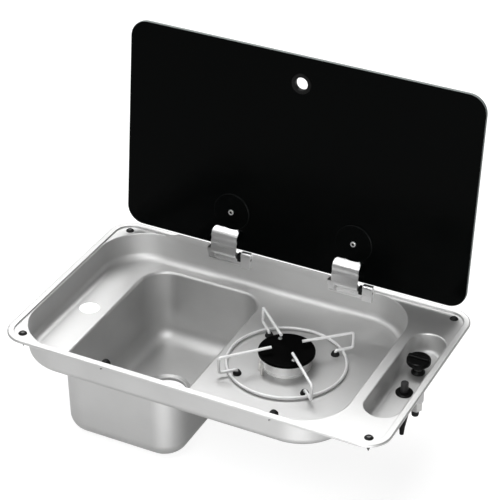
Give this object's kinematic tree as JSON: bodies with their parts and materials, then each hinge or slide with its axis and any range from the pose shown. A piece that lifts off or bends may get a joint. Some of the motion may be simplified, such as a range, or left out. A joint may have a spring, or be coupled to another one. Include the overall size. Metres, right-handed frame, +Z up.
{
  "type": "hob and sink combo",
  "caption": "Drop-in stainless tray with a deep sink bowl, a gas burner under a wire pan support, a knob and spark button in a side slot, and a hinged dark glass lid.",
  "frame": {"origin": "centre of the rim, on the underside of the rim seal, which is the worktop plane", "axes": "+X left to right seen from the front, +Y front to back, +Z up"},
  "size_m": [0.6, 0.3872, 0.5214],
  "materials": {
    "tray_steel": "satin",
    "lid_glass": "polished",
    "hinge_metal": "satin",
    "screw_steel": "bright",
    "bright_wire": "bright",
    "black_plastic": "satin",
    "black_rubber": "matte",
    "seal_foam": "matte",
    "burner_alloy": "satin",
    "black_enamel": "satin",
    "valve_alloy": "cast",
    "brass": "machined",
    "pipe_metal": "drawn",
    "ceramic": "gloss"
  },
  "bodies": {
    "unit": {"tray_left": "tray_steel", "tray_sink_front": "tray_steel", "tray_sink_back": "tray_steel", "tray_hob_front": "tray_steel", "tray_hob_back": "tray_steel", "tray_controls_front": "tray_steel", "tray_controls_back": "tray_steel", "sink_bowl_front": "tray_steel", "sink_bowl_back": "tray_steel", "rim_seal": "seal_foam", "fixing_screws": "screw_steel", "fixing_caps": "black_rubber", "hinge_bracket_left": "hinge_metal", "hinge_bracket_right": "hinge_metal", "hinge_pin_left": "screw_steel", "hinge_pin_right": "screw_steel", "grommets": "black_rubber", "burner_cup": "burner_alloy", "burner_gasket": "seal_foam", "burner_crown": "burner_alloy", "burner_cap": "black_enamel", "burner_screws": "screw_steel", "injector_holder": "brass", "injector": "brass", "gas_pipe": "pipe_metal", "pipe_nuts": "brass", "electrode_ceramic": "ceramic", "electrode_tip": "screw_steel", "flame_sensor": "pipe_metal", "electrode_clip": "screw_steel", "valve_body": "valve_alloy", "valve_nut": "screw_steel", "knob_bezel": "black_plastic", "inlet_nut": "screw_steel", "inlet_spigot": "black_plastic", "piezo_body": "black_plastic", "piezo_nut": "black_plastic"},
    "lid": {"lid_glass": "lid_glass", "finger_ring_top": "black_plastic", "finger_ring_bottom": "black_plastic", "hinge_strap_left": "hinge_metal", "hinge_strap_right": "hinge_metal", "hinge_pads": "black_plastic", "hinge_screws": "screw_steel", "hinge_caps": "black_plastic"},
    "pan_support": {"pan_support_ring": "bright_wire", "pan_support_fingers": "bright_wire"},
    "knob_sleeve": {"valve_sleeve": "screw_steel"},
    "knob_grip": {"valve_stem": "screw_steel", "knob": "black_plastic"},
    "spark_button": {"piezo_button": "black_plastic"}
  },
  "joints": [
    {"name": "lid_hinge", "type": "hinge", "parent": "unit", "child": "lid", "pos_m": [0, 0.1668, 0.00104], "axis": [1, 0, 0], "range_deg": [0, 94.9]},
    {"name": "pan_support_lift", "type": "slide", "parent": "unit", "child": "pan_support", "axis": [0, 0, 1], "range_m": [0, 0.011]},
    {"name": "knob_push", "type": "slide", "parent": "unit", "child": "knob_sleeve", "axis": [0, 0, -1], "range_m": [0, 0.003], "stiffness_N_per_m": 1500, "springref_m": -0.001},
    {"name": "knob_turn", "type": "hinge", "parent": "knob_sleeve", "child": "knob_grip", "pos_m": [0.26, 0.052, -0.01], "axis": [0, 0, 1], "range_deg": [0, 200]},
    {"name": "spark_push", "type": "slide", "parent": "unit", "child": "spark_button", "axis": [0, 0, -1], "range_m": [0, 0.005], "stiffness_N_per_m": 900, "springref_m": -0.001}
  ]
}
